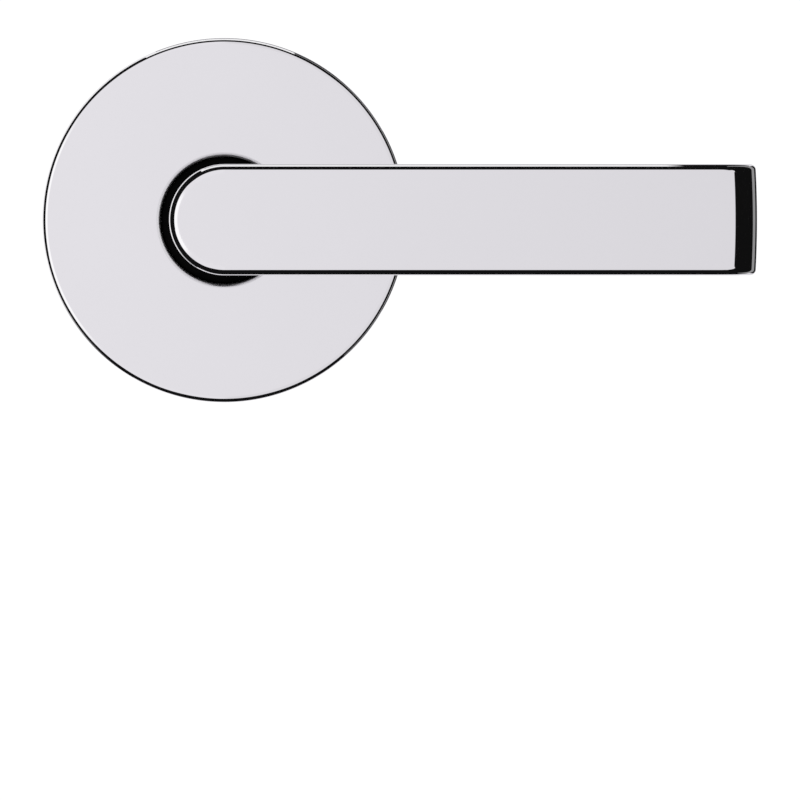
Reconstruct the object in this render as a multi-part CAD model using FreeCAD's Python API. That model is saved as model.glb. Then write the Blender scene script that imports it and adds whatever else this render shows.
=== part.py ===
"""A pair of door lever handles on round roses, clamped to both faces of a door and joined by one square spindle.

Frame: the origin is on the spindle's axis, halfway through the door. +X runs along the levers to their tips, +Z is up,
and the spindle lies along Y, with the outside handle at -Y and the inside handle at +Y. Millimetres.

Each side is first built in a local frame: the door's face is z = 0, +z points away from the door, +x runs along the
lever and +y is up. The place_ functions turn that frame onto the door's two faces.
"""
import FreeCAD
import Part
import math
import os

from FreeCAD import Vector

# Door
DOOR_THICKNESS = 44.5
DOOR_BORE_DIAMETER = 54.0

# Rose cover: a shallow drawn cup
ROSE_DIAMETER = 66.7
ROSE_HEIGHT = 9.0
ROSE_WALL = 1.2
ROSE_EDGE_RADIUS = 1.1
ROSE_HOLE_RADIUS = 11.5
ROSE_LIP_RADIUS = 0.8
ROSE_LIP_DEPTH = 2.0

# Lever
LEVER_WIDTH = 20.2
LEVER_REACH = 96.9
LEVER_PROJECTION = 55.6
BAR_THICKNESS = 6.5
BEND_RADIUS = 6.4
RETURN_DEPTH = 14.0
RETURN_THICKNESS = 6.0
RETURN_CORNER = 2.0
INNER_CORNER = 2.5
TIP_CROWN_RADIUS = 170.0
EDGE_RADIUS = 1.6
RETURN_EDGE_RADIUS = 1.0
NECK_RADIUS = 9.6
FLARE_RADIUS = 8.0
SHOULDER_HEIGHT = 5.1
SPIGOT_RADIUS = 8.6
SPIGOT_END = -10.6
SPIGOT_FLATS = 14.4
FLATS_START = -6.7

# Spindle
SPINDLE_SIZE = 8.0
SPINDLE_LENGTH = 100.0
SPINDLE_CORNER = 0.5
SPINDLE_BORE = 8.12
SPINDLE_BORE_DEPTH = 30.0
DIMPLE_RADIUS = 1.6
DIMPLE_DEPTH = 0.5

# Set screw in the underside of each neck
SET_SCREW_HEIGHT = 14.0
SET_SCREW_RADIUS = 2.5
SET_SCREW_LENGTH = 5.2
SET_SCREW_KEY = 2.5

# Mounting plate, a die casting
PLATE_RADIUS = 31.4
PLATE_THICKNESS = 2.6
RIM_HEIGHT = 6.2
RIM_WALL = 1.6
REGISTER_CLEARANCE = 0.3
REGISTER_RADIUS = DOOR_BORE_DIAMETER / 2 - REGISTER_CLEARANCE
REGISTER_WALL = 2.0
REGISTER_DEPTH = 5.0
HUB_RADIUS = 12.2
HUB_FRONT = 3.8
HUB_REAR = -6.0
RIB_DEPTH = 3.5
RIB_WIDTH = 1.8
RIB_ANGLES = (38.0, 142.0, 218.0, 270.0, 322.0)

# Bush between neck and plate
BUSH_BORE = 8.66
BUSH_RADIUS = 10.4
BUSH_REAR = -5.6
BUSH_LEDGE = 5.0
BUSH_COLLAR_RADIUS = 11.25
BUSH_COLLAR_BORE = 9.95
BUSH_COLLAR_TOP = 6.9

# Return spring, wound round the plate's hub
SPRING_RADIUS = 13.8
SPRING_WIRE = 1.7
SPRING_PITCH = 1.9
SPRING_TURNS = 2.25
SPRING_BEND = 1.2
SPRING_FRONT = -1.25
SPRING_LEG_FRONT = 2.2
SPRING_LEG_REAR = -8.1
SPRING_FRONT_ANGLE = 200.0
LEG_HOLE_RADIUS = 1.05

# Driver plate, which the lever turns and the spring holds level
DRIVER_FRONT = -6.8
DRIVER_THICKNESS = 1.6
DRIVER_RADIUS = 15.6
DRIVER_WIDTH = 29.2
EAR_RADIUS = 22.0
EAR_WIDTH = 7.0
TRAVEL = 50.0
STOP_CLEARANCE = 1.0
STOP_INNER_RADIUS = 17.6
STOP_OUTER_RADIUS = 22.6
STOP_SPAN = 9.0
STOP_REAR = -8.8

# Wave washer and retaining ring
WASHER_INNER = 9.1
WASHER_OUTER = 11.6
WASHER_THICKNESS = 0.3
WASHER_WAVE = 0.19
WASHER_WAVES = 3
GROOVE_RADIUS = 7.7
GROOVE_FRONT = -8.55
GROOVE_WIDTH = 1.1
RING_THICKNESS = 1.0
RING_OUTER = 10.4
RING_GAP = 50.0

# Posts and screws that clamp the two sides together
POST_SPACING = 38.0
POST_RADIUS = 3.0
POST_LENGTH = 33.0
POST_NECK_RADIUS = 2.6
POST_HEAD_RADIUS = 3.7
POST_HEAD_HEIGHT = 1.0
POST_BORE_RADIUS = 2.08
POST_BORE_DEPTH = 10.0
PAD_RADIUS = 4.1
PAD_DEPTH = 1.0
SCREW_RADIUS = 2.0
SCREW_LENGTH = 23.0
SCREW_HEAD_RADIUS = 3.9
SCREW_HEAD_HEIGHT = 2.3
SCREW_HOLE_RADIUS = 2.3
RECESS_WIDTH = 0.9
RECESS_REACH = 2.0

# Clips that hold the rose cover on the plate
CLIP_ANGLES = (90.0, 210.0, 330.0)
CLIP_SPAN = 22.0
CLIP_THICKNESS = 0.4
CLIP_FRONT = 5.6
CLIP_REAR = 2.8
CLIP_GAP = 0.05

HALF_DOOR = DOOR_THICKNESS / 2
HALF_WIDTH = LEVER_WIDTH / 2
BAR_BACK = LEVER_PROJECTION - BAR_THICKNESS
Z = Vector(0, 0, 1)
ORIGIN = Vector(0, 0, 0)


def cylinder(radius, low, high, centre=(0.0, 0.0)):
    """A cylinder along z from low to high."""
    return Part.makeCylinder(radius, high - low, Vector(centre[0], centre[1], low), Z)


def tube(inner, outer, low, high):
    """A ring along z from low to high."""
    return cylinder(outer, low, high).cut(cylinder(inner, low - 1, high + 1))


def block(x, y, z):
    """A box from three (low, high) pairs."""
    return Part.makeBox(x[1] - x[0], y[1] - y[0], z[1] - z[0], Vector(x[0], y[0], z[0]))


def polar(radius, degrees, height=0.0):
    """A point at a radius and an angle about z, where 0 is along +x."""
    angle = math.radians(degrees)
    return Vector(radius * math.cos(angle), radius * math.sin(angle), height)


def outline(start, *steps):
    """A closed face in the x-z plane. Each step is an end point, or (middle, end) of an arc."""
    here = Vector(start[0], 0, start[1])
    first = here
    edges = []
    for step in steps:
        if isinstance(step[0], tuple):
            middle = Vector(step[0][0], 0, step[0][1])
            there = Vector(step[1][0], 0, step[1][1])
            edges.append(Part.Arc(here, middle, there).toShape())
        else:
            there = Vector(step[0], 0, step[1])
            edges.append(Part.LineSegment(here, there).toShape())
        here = there
    if here.distanceToPoint(first) > 1e-9:
        edges.append(Part.LineSegment(here, first).toShape())
    return Part.Face(Part.Wire(edges))


def arc_point(centre, radius, degrees):
    """The (x, z) of a point on an arc, for an outline's arc steps."""
    angle = math.radians(degrees)
    return (centre[0] + radius * math.cos(angle), centre[1] + radius * math.sin(angle))


def spin(face):
    """A full turn of an x-z outline about z."""
    return face.revolve(ORIGIN, Z, 360)


def turned(shape, degrees):
    """A copy turned about z."""
    copy = shape.copy()
    copy.rotate(ORIGIN, Z, degrees)
    return copy


def sector(inner, outer, low, high, middle, span):
    """A piece of a ring, centred on an angle about z and spanning so many degrees."""
    wedge = Part.makeCylinder(outer, high - low, Vector(0, 0, low), Z, span)
    return turned(wedge.cut(cylinder(inner, low - 1, high + 1)), middle - span / 2)


def double_d(radius, flats, low, high):
    """A round bar with two flats, above and below."""
    half = flats / 2
    return cylinder(radius, low, high).common(block((-radius, radius), (-half, half), (low, high)))


def hexagon(across_flats, low, high):
    """A hexagonal bar along z."""
    corner = across_flats / math.sqrt(3)
    points = [polar(corner, 60 * k, low) for k in range(7)]
    return Part.Face(Part.makePolygon(points)).extrude(Vector(0, 0, high - low))


def rose_cover():
    """A drawn cup with a flat front, a crisp rim and a hole whose edge rolls inwards."""
    outer = ROSE_DIAMETER / 2
    inner = outer - ROSE_WALL
    rim = ROSE_EDGE_RADIUS
    lip = ROSE_LIP_RADIUS
    ceiling = ROSE_HEIGHT - ROSE_WALL
    lip_end = ROSE_HEIGHT - ROSE_LIP_DEPTH
    rim_centre = (outer - rim, ROSE_HEIGHT - rim)
    lip_centre = (ROSE_HOLE_RADIUS + lip, ROSE_HEIGHT - lip)
    face = outline(
        (inner, 0),
        (outer, 0),
        (outer, ROSE_HEIGHT - rim),
        (arc_point(rim_centre, rim, 45), (outer - rim, ROSE_HEIGHT)),
        (ROSE_HOLE_RADIUS + lip, ROSE_HEIGHT),
        (arc_point(lip_centre, lip, 135), (ROSE_HOLE_RADIUS, ROSE_HEIGHT - lip)),
        (ROSE_HOLE_RADIUS, lip_end),
        (ROSE_HOLE_RADIUS + ROSE_WALL, lip_end),
        (ROSE_HOLE_RADIUS + ROSE_WALL, ceiling),
        (inner, ceiling),
    )
    return spin(face)


def bar_slab():
    """The straight bar with its round end over the neck, up to where the tip begins."""
    height = (BAR_BACK, LEVER_PROJECTION)
    straight = block((0, tip_start()), (-HALF_WIDTH, HALF_WIDTH), height)
    return straight.fuse(cylinder(HALF_WIDTH, *height))


def tip_start():
    """Where along x the crowned tip takes over from the straight bar."""
    return LEVER_REACH - 4 * BEND_RADIUS


def bar_tip():
    """The bent end of the bar and its return towards the door, turned about a far axis so that it bows a little."""
    tip, front, back = LEVER_REACH, LEVER_PROJECTION, BAR_BACK
    inside = tip - RETURN_THICKNESS
    end = front - RETURN_DEPTH
    bend = (tip - BEND_RADIUS, front - BEND_RADIUS)
    outer_corner = (tip - RETURN_CORNER, end + RETURN_CORNER)
    inner_corner = (inside + RETURN_CORNER, end + RETURN_CORNER)
    hollow = (inside - INNER_CORNER, back - INNER_CORNER)
    face = outline(
        (tip_start() - 1, back),
        (tip_start() - 1, front),
        (bend[0], front),
        (arc_point(bend, BEND_RADIUS, 45), (tip, bend[1])),
        (tip, outer_corner[1]),
        (arc_point(outer_corner, RETURN_CORNER, -45), (outer_corner[0], end)),
        (inner_corner[0], end),
        (arc_point(inner_corner, RETURN_CORNER, -135), (inside, inner_corner[1])),
        (inside, hollow[1]),
        (arc_point(hollow, INNER_CORNER, 45), (hollow[0], back)),
    )
    axis = Vector(tip - TIP_CROWN_RADIUS, 0, 0)
    sweep = math.degrees(math.asin(LEVER_WIDTH / (tip_start() - axis.x)))
    face.rotate(axis, Z, -sweep / 2)
    solid = face.revolve(axis, Z, sweep)
    return solid.common(block((tip_start(), tip + 1), (-HALF_WIDTH, HALF_WIDTH), (end - 1, front + 1)))


def flare():
    """The concave sweep from the round neck out to the bar, trimmed to the bar's width."""
    foot = BAR_BACK - FLARE_RADIUS
    wide = NECK_RADIUS + FLARE_RADIUS
    middle = arc_point((wide, foot), FLARE_RADIUS, 135)
    cone = spin(outline((0, foot), (NECK_RADIUS, foot), (middle, (wide, BAR_BACK)), (0, BAR_BACK)))
    trim = cylinder(HALF_WIDTH, foot - 1, BAR_BACK)
    trim = trim.fuse(block((0, wide + 1), (-HALF_WIDTH, HALF_WIDTH), (foot - 1, BAR_BACK)))
    return cone.common(trim)


def on_side(edge):
    """True for an edge of the bar's side walls that gets rounded, front or back."""
    points = [edge.valueAt(p) for p in (edge.FirstParameter, edge.LastParameter)]
    points.append(edge.valueAt((edge.FirstParameter + edge.LastParameter) / 2))
    upright = abs(points[0].x - points[1].x) + abs(points[0].y - points[1].y) < 1e-6
    on_wall = all(
        abs(abs(p.y) - HALF_WIDTH) < 1e-4 or (p.x < 1e-4 and abs(math.hypot(p.x, p.y) - HALF_WIDTH) < 1e-4)
        for p in points
    )
    return on_wall and not (upright and abs(points[0].x) < 1e-4)


def edge_radius(point):
    """The rounding at a point of the grip's side edges: soft along the bar, crisper on the return."""
    on_return = point.x > LEVER_REACH - RETURN_THICKNESS - 0.5
    below_bend = point.z < LEVER_PROJECTION - BEND_RADIUS + 0.1
    return RETURN_EDGE_RADIUS if on_return and below_bend else EDGE_RADIUS


def rounded_grip():
    """The bar, its return and the flare, with their side edges rounded by a radius that changes round the bend."""
    grip = bar_slab().fuse([bar_tip(), flare()]).removeSplitter()
    document = FreeCAD.newDocument()
    sharp = document.addObject("Part::Feature", "Sharp")
    sharp.Shape = grip
    soft = document.addObject("Part::Fillet", "Soft")
    soft.Base = sharp
    sizes = []
    for number, edge in enumerate(grip.Edges, start=1):
        if on_side(edge):
            start = edge.valueAt(edge.FirstParameter)
            end = edge.valueAt(edge.LastParameter)
            sizes.append((number, edge_radius(start), edge_radius(end)))
    soft.Edges = sizes
    document.recompute()
    return soft.Shape


def lever():
    """One casting: bar, return, flared neck, and the spigot that turns in the rose."""
    grip = rounded_grip()
    neck = cylinder(NECK_RADIUS, SHOULDER_HEIGHT, BAR_BACK - FLARE_RADIUS)
    spigot = cylinder(SPIGOT_RADIUS, FLATS_START, SHOULDER_HEIGHT)
    keyed = double_d(SPIGOT_RADIUS, SPIGOT_FLATS, SPIGOT_END, FLATS_START)
    groove = tube(GROOVE_RADIUS, SPIGOT_RADIUS + 1, GROOVE_FRONT - GROOVE_WIDTH, GROOVE_FRONT)
    half = SPINDLE_BORE / 2
    bore = block((-half, half), (-half, half), (SPIGOT_END - 1, SPINDLE_BORE_DEPTH))
    solid = grip.fuse([neck, spigot, keyed]).removeSplitter()
    return solid.cut(groove).cut(bore).cut(set_screw_hole())


def set_screw_hole():
    """The tapped hole from the underside of the neck to the spindle bore."""
    return Part.makeCylinder(SET_SCREW_RADIUS + 0.05, NECK_RADIUS + 1, Vector(0, 0, SET_SCREW_HEIGHT), Vector(0, -1, 0))


def set_screw():
    """A grub screw with a hexagon socket, its point on the spindle."""
    point = SPINDLE_SIZE / 2 - DIMPLE_DEPTH
    cone = Part.makeCone(DIMPLE_RADIUS / 2, SET_SCREW_RADIUS, DIMPLE_DEPTH + 0.6, Vector(0, 0, point), Z)
    shank = cylinder(SET_SCREW_RADIUS, point + DIMPLE_DEPTH + 0.6, point + SET_SCREW_LENGTH)
    socket = hexagon(SET_SCREW_KEY, point + SET_SCREW_LENGTH / 2, point + SET_SCREW_LENGTH + 1)
    screw = cone.fuse(shank).cut(socket)
    screw.rotate(ORIGIN, Vector(1, 0, 0), 90)
    screw.translate(Vector(0, 0, SET_SCREW_HEIGHT))
    return screw


def post_places():
    """The two screw positions, left and right of the spindle."""
    return [(-POST_SPACING / 2, 0.0), (POST_SPACING / 2, 0.0)]


def stop_lug(side):
    """A lug behind the plate that the driver's ear meets at the end of its travel, side +1 or -1 of the top."""
    ear_half = math.degrees(math.asin(EAR_WIDTH / 2 / STOP_INNER_RADIUS))
    middle = 90 + side * (TRAVEL + ear_half + STOP_CLEARANCE + STOP_SPAN / 2)
    return sector(STOP_INNER_RADIUS, STOP_OUTER_RADIUS, STOP_REAR, 0, middle, STOP_SPAN)


def mounting_plate(screw_side):
    """The casting behind each cover. It sits on the door, fills the bore's mouth and carries the hub and spring."""
    body = cylinder(PLATE_RADIUS, 0, PLATE_THICKNESS)
    body = body.fuse(tube(PLATE_RADIUS - RIM_WALL, PLATE_RADIUS, 0, RIM_HEIGHT))
    body = body.fuse(cylinder(HUB_RADIUS, HUB_REAR, HUB_FRONT))
    body = body.fuse(tube(REGISTER_RADIUS - REGISTER_WALL, REGISTER_RADIUS, -REGISTER_DEPTH, 0))
    rib_start = SPRING_RADIUS + SPRING_WIRE
    for angle in RIB_ANGLES:
        rib = block((rib_start, REGISTER_RADIUS - 1), (-RIB_WIDTH / 2, RIB_WIDTH / 2), (-RIB_DEPTH, 0))
        body = body.fuse(turned(rib, angle))
    body = body.fuse([stop_lug(1), stop_lug(-1)])
    body = body.fuse([cylinder(PAD_RADIUS, -PAD_DEPTH, 0, place) for place in post_places()])
    hole = SCREW_HOLE_RADIUS if screw_side else POST_NECK_RADIUS + 0.05
    cuts = [cylinder(hole, -PAD_DEPTH - 1, PLATE_THICKNESS + 1, place) for place in post_places()]
    cuts.append(cylinder(BUSH_RADIUS + 0.02, HUB_REAR - 1, HUB_FRONT + 1))
    leg = spring_path()[2]
    cuts.append(cylinder(LEG_HOLE_RADIUS, -1, PLATE_THICKNESS + 1, (leg.x, leg.y)))
    for angle in CLIP_ANGLES:
        cuts.append(sector(PLATE_RADIUS - RIM_WALL - 1, PLATE_RADIUS + 1, CLIP_REAR - 0.2, RIM_HEIGHT + 1,
                           angle, CLIP_SPAN + 3))
    return body.removeSplitter().cut(cuts)


def rose_clips():
    """Three bowed leaf springs in the rim's gaps, each pressing out against the cover's wall."""
    wall = ROSE_DIAMETER / 2 - ROSE_WALL - CLIP_GAP
    clips = []
    for angle in CLIP_ANGLES:
        leaf = sector(wall - CLIP_THICKNESS, wall, CLIP_REAR, CLIP_FRONT, angle, CLIP_SPAN)
        foot = sector(PLATE_RADIUS - RIM_WALL - 1.4, wall, CLIP_REAR - 0.2, CLIP_REAR + CLIP_THICKNESS - 0.2,
                      angle, CLIP_SPAN / 2)
        clips.append(leaf.fuse(foot))
    return Part.makeCompound(clips)


def neck_bush():
    """The acetal bearing in the hub. Its collar fills the rose's hole round the neck."""
    face = outline(
        (BUSH_BORE, BUSH_REAR),
        (BUSH_RADIUS, BUSH_REAR),
        (BUSH_RADIUS, HUB_FRONT),
        (BUSH_COLLAR_RADIUS, HUB_FRONT),
        (BUSH_COLLAR_RADIUS, BUSH_COLLAR_TOP),
        (BUSH_COLLAR_BORE, BUSH_COLLAR_TOP),
        (BUSH_COLLAR_BORE, BUSH_LEDGE),
        (BUSH_BORE, BUSH_LEDGE),
    )
    return spin(face)


def bend(start, along, toward, radius):
    """An arc that leaves a point in one direction and ends in another, and where it ends."""
    inward = (toward - along * along.dot(toward)).normalize()
    centre = start + inward * radius
    angle = along.getAngle(toward)

    def at(turn):
        return centre - inward * (radius * math.cos(turn)) + along * (radius * math.sin(turn))

    return Part.Arc(start, at(angle / 2), at(angle)).toShape(), at(angle)


def spring_path():
    """The spring's centre line, from the rear leg's end to the front leg's, and the centres of the two legs."""
    rise = SPRING_PITCH * SPRING_TURNS
    coil = Part.makeHelix(SPRING_PITCH, rise, SPRING_RADIUS)
    coil.translate(Vector(0, 0, SPRING_FRONT - rise))
    coil.rotate(ORIGIN, Z, SPRING_FRONT_ANGLE - 360 * SPRING_TURNS)
    helix = coil.Edges[0]
    first, last = helix.FirstParameter, helix.LastParameter
    rear_bend, rear = bend(helix.valueAt(first), helix.tangentAt(first) * -1, Z * -1, SPRING_BEND)
    front_bend, front = bend(helix.valueAt(last), helix.tangentAt(last), Z, SPRING_BEND)
    rear_end = Vector(rear.x, rear.y, SPRING_LEG_REAR)
    front_end = Vector(front.x, front.y, SPRING_LEG_FRONT)
    legs = [Part.LineSegment(rear_end, rear).toShape(), Part.LineSegment(front, front_end).toShape()]
    return Part.Wire([legs[0], rear_bend, helix, front_bend, legs[1]]), rear_end, front_end


def return_spring():
    """A torsion spring round the hub. One leg is held by the plate and the other by the driver plate."""
    path, rear_end, front_end = spring_path()
    section = Part.Wire(Part.makeCircle(SPRING_WIRE / 2, rear_end, Z))
    return path.makePipeShell([section], True, True)


def driver_plate():
    """A steel stamping keyed to the spigot's flats, with an ear between the stops and a hole for the spring's leg."""
    rear = DRIVER_FRONT - DRIVER_THICKNESS
    half = DRIVER_WIDTH / 2
    disc = cylinder(DRIVER_RADIUS, rear, DRIVER_FRONT)
    disc = disc.common(block((-half, half), (-DRIVER_RADIUS, DRIVER_RADIUS), (rear, DRIVER_FRONT)))
    ear = block((-EAR_WIDTH / 2, EAR_WIDTH / 2), (0, EAR_RADIUS), (rear, DRIVER_FRONT))
    hole = double_d(SPIGOT_RADIUS + 0.06, SPIGOT_FLATS + 0.12, rear - 1, DRIVER_FRONT + 1)
    leg = spring_path()[1]
    leg_hole = cylinder(LEG_HOLE_RADIUS, rear - 1, DRIVER_FRONT + 1, (leg.x, leg.y))
    ear = ear.common(cylinder(EAR_RADIUS, rear, DRIVER_FRONT))
    return disc.fuse(ear).removeSplitter().cut([hole, leg_hole])


def wave_washer():
    """A thin ring with three waves that takes up the lever's end play."""
    steps = 72
    middle = (HUB_REAR + DRIVER_FRONT) / 2
    inner, outer = [], []
    for k in range(steps):
        angle = 360 * k / steps
        height = middle + WASHER_WAVE * math.sin(math.radians(WASHER_WAVES * angle))
        inner.append(polar(WASHER_INNER, angle, height - WASHER_THICKNESS / 2))
        outer.append(polar(WASHER_OUTER, angle, height - WASHER_THICKNESS / 2))
    loops = []
    for points in (inner, outer):
        curve = Part.BSplineCurve()
        curve.interpolate(points, True)
        loops.append(Part.Wire(curve.toShape()))
    sheet = Part.makeRuledSurface(loops[0], loops[1])
    return sheet.extrude(Vector(0, 0, WASHER_THICKNESS)).Solids[0]


def retaining_ring():
    """An external snap ring, open at the bottom, with two ears for the pliers."""
    front = GROOVE_FRONT - (GROOVE_WIDTH - RING_THICKNESS) / 2
    rear = front - RING_THICKNESS
    band = tube(GROOVE_RADIUS + 0.03, RING_OUTER, rear, front)
    gap = sector(0.5, RING_OUTER + 4, rear - 1, front + 1, 270, RING_GAP)
    ears = []
    holes = []
    for side in (-1, 1):
        at = polar(RING_OUTER, 270 + side * (RING_GAP / 2 + 7))
        ears.append(cylinder(2.0, rear, front, (at.x, at.y)))
        holes.append(cylinder(0.8, rear - 1, front + 1, (at.x, at.y)))
    ring = band.cut(gap).fuse(ears).cut(cylinder(GROOVE_RADIUS + 0.03, rear - 1, front + 1))
    return ring.cut(holes).removeSplitter()


def mounting_posts():
    """Two tapped posts, staked into the outside plate, that pass through the door."""
    posts = []
    for place in post_places():
        exposed = cylinder(POST_RADIUS, -POST_LENGTH, -PAD_DEPTH, place)
        edges = [e for e in exposed.Edges if e.BoundBox.ZMax < -POST_LENGTH + 1e-3]
        exposed = exposed.makeChamfer(0.5, edges)
        neck = cylinder(POST_NECK_RADIUS, -PAD_DEPTH, PLATE_THICKNESS, place)
        head = cylinder(POST_HEAD_RADIUS, PLATE_THICKNESS, PLATE_THICKNESS + POST_HEAD_HEIGHT, place)
        edges = [e for e in head.Edges if e.BoundBox.ZMin > PLATE_THICKNESS + POST_HEAD_HEIGHT - 1e-3]
        head = head.makeFillet(0.6, edges)
        bore = cylinder(POST_BORE_RADIUS, -POST_LENGTH - 1, POST_BORE_DEPTH - POST_LENGTH, place)
        posts.append(exposed.fuse([neck, head]).cut(bore))
    return Part.makeCompound(posts)


def mounting_screws():
    """Two pan-head screws from the inside plate into the posts."""
    screws = []
    top = PLATE_THICKNESS + SCREW_HEAD_HEIGHT
    for place in post_places():
        shank = cylinder(SCREW_RADIUS, PLATE_THICKNESS - SCREW_LENGTH, PLATE_THICKNESS, place)
        edges = [e for e in shank.Edges if e.BoundBox.ZMax < PLATE_THICKNESS - SCREW_LENGTH + 1e-3]
        shank = shank.makeChamfer(0.7, edges)
        head = cylinder(SCREW_HEAD_RADIUS, PLATE_THICKNESS, top, place)
        edges = [e for e in head.Edges if e.BoundBox.ZMin > top - 1e-3]
        head = head.makeFillet(1.2, edges)
        slots = []
        for turn in (0, 90):
            reach, width = (RECESS_REACH, RECESS_WIDTH / 2) if turn == 0 else (RECESS_WIDTH / 2, RECESS_REACH)
            slots.append(block((place[0] - reach, place[0] + reach), (-width, width), (top - 1.4, top + 1)))
        screws.append(shank.fuse(head).cut(slots))
    return Part.makeCompound(screws)


def spindle():
    """The square bar that joins the levers, in the final frame. It has a dimple for each set screw."""
    half = SPINDLE_SIZE / 2
    reach = SPINDLE_LENGTH / 2
    bar = block((-half, half), (-reach, reach), (-half, half))
    along = [e for e in bar.Edges if abs(e.BoundBox.YLength - SPINDLE_LENGTH) < 1e-3]
    bar = bar.makeChamfer(SPINDLE_CORNER, along)
    ends = [e for e in bar.Edges if e.BoundBox.YLength < 1e-3]
    bar = bar.makeChamfer(0.8, ends)
    for side in (-1, 1):
        at = Vector(0, side * (HALF_DOOR + SET_SCREW_HEIGHT), -half - 0.01)
        bar = bar.cut(Part.makeCone(DIMPLE_RADIUS, DIMPLE_RADIUS / 2, DIMPLE_DEPTH + 0.06, at, Z))
    return bar


def place_outside(shape):
    """From the local frame to the door's outside face."""
    placed = shape.copy()
    placed.rotate(ORIGIN, Vector(1, 0, 0), 90)
    placed.translate(Vector(0, -HALF_DOOR, 0))
    return placed


def place_inside(shape):
    """From the local frame to the door's inside face: the outside's part turned half round about the vertical."""
    return turned(place_outside(shape), 180)


def place_handed(shape):
    """From the local frame to the door's inside face, as a mirror image of the outside's part."""
    return place_outside(shape).mirror(ORIGIN, Vector(0, 1, 0))


def save(name, shape):
    """Writes one node's STEP file and prints its facts."""
    assert shape.isValid(), name
    volume = shape.Volume
    assert volume > 0, name
    shape.exportStep(f"parts/{name}.step")
    box = shape.BoundBox
    print(f"{name}: {len(shape.Solids)} solid(s), {volume:.1f} mm3, "
          f"{box.XLength:.2f} x {box.YLength:.2f} x {box.ZLength:.2f} mm")


def main():
    os.makedirs("parts", exist_ok=True)
    same_on_both_sides = {
        "rose_cover": rose_cover(),
        "rose_clips": rose_clips(),
        "neck_bush": neck_bush(),
        "return_spring": return_spring(),
        "driver_plate": driver_plate(),
        "wave_washer": wave_washer(),
        "retaining_ring": retaining_ring(),
    }
    for name, shape in same_on_both_sides.items():
        save(f"outside_{name}", place_outside(shape))
        save(f"inside_{name}", place_inside(shape))
    for name, shape in {"lever": lever(), "set_screw": set_screw()}.items():
        save(f"outside_{name}", place_outside(shape))
        save(f"inside_{name}", place_handed(shape))
    save("outside_mounting_plate", place_outside(mounting_plate(screw_side=False)))
    save("inside_mounting_plate", place_inside(mounting_plate(screw_side=True)))
    save("mounting_posts", place_outside(mounting_posts()))
    save("mounting_screws", place_inside(mounting_screws()))
    save("spindle", spindle())


main()
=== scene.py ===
"""Looks for a pair of door lever handles: mirror-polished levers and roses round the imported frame.

Each side is made in a local frame, in millimetres: the door's face is z = 0, +z points away from the door,
+x runs along the lever and +y is up. The functions outside, inside and inside_mirrored turn it onto the two
faces of the door, in metres.
"""

import math

import bpy
import numpy as np
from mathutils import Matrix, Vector


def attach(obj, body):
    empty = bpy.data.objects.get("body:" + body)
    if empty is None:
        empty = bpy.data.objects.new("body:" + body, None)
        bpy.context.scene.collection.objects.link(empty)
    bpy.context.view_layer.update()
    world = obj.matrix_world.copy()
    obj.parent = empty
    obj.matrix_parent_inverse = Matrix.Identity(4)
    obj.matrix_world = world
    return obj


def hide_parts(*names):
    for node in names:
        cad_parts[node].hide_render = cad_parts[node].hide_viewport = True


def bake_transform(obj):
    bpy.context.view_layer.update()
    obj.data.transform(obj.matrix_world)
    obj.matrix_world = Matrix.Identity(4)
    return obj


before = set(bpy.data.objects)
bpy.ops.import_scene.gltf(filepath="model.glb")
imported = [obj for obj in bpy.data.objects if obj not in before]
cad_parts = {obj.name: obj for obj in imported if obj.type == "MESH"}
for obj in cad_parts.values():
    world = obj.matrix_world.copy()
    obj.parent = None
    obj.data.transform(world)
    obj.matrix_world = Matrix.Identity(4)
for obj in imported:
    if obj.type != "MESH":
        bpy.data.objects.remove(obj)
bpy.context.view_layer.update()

MM = 0.001
HALF_DOOR = 22.25

# Lever: a bar between BACK and FRONT that bends back at its tip, on a round neck that flares into it
WIDTH = 20.2
HALF = WIDTH / 2
REACH = 96.9
FRONT = 55.6
BACK = 49.1
TIP_HALF = 60.0
BEND = 6.4
RETURN_DEPTH = 14.0
RETURN_THICK = 6.0
RETURN_CORNER = 2.0
INNER_CORNER = 2.5
CROWN = 170.0
EDGE = 1.6
RETURN_EDGE = 1.0
NECK = 9.6
NECK_EDGE = 0.03
NECK_END = 41.0
FLARE = 8.0
FLARE_REACH = 40.0
SHOULDER = 5.1
SCREW_HEIGHT = 14.0
SCREW_HOLE = 2.55
HOLE_EDGE = 0.3

# Spigot: round, then two flats with the retaining ring's groove, round the spindle's bore
SPIGOT = 8.6
FLAT = 7.2
FLATS_START = -6.7
GROOVE = 7.7
GROOVE_FRONT = -8.55
GROOVE_REAR = -9.65
SPIGOT_END = -10.6
BORE = 4.06
BORE_ROOM = 4.4
BORE_DEPTH = 30.0

# Rose cover
ROSE_HEIGHT = 9.0
HOLE = 11.5
LIP = 0.8

# Mounting screws
BOLT_OFFSET = 19.0

# Return spring: a coil whose two legs bend forwards and backwards
COIL = 13.8
WIRE = 0.85
PITCH = 1.9
TURNS = 2.25
COIL_FRONT = -1.25
FRONT_ANGLE = math.radians(200)
LEG_BEND = 1.2
FRONT_LEG_END = 2.2
REAR_LEG_END = -8.1


def outside(p):
    """Local millimetres to metres on the door's outside face."""
    return np.column_stack((p[:, 0], -p[:, 2] - HALF_DOOR, p[:, 1])) * MM


def inside(p):
    """The same part turned half round about the vertical, on the door's inside face."""
    return np.column_stack((-p[:, 0], p[:, 2] + HALF_DOOR, p[:, 1])) * MM


def inside_mirrored(p):
    """The same part as a mirror image, on the door's inside face."""
    return np.column_stack((p[:, 0], p[:, 2] + HALF_DOOR, p[:, 1])) * MM


# ---------------------------------------------------------------- meshes


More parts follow.
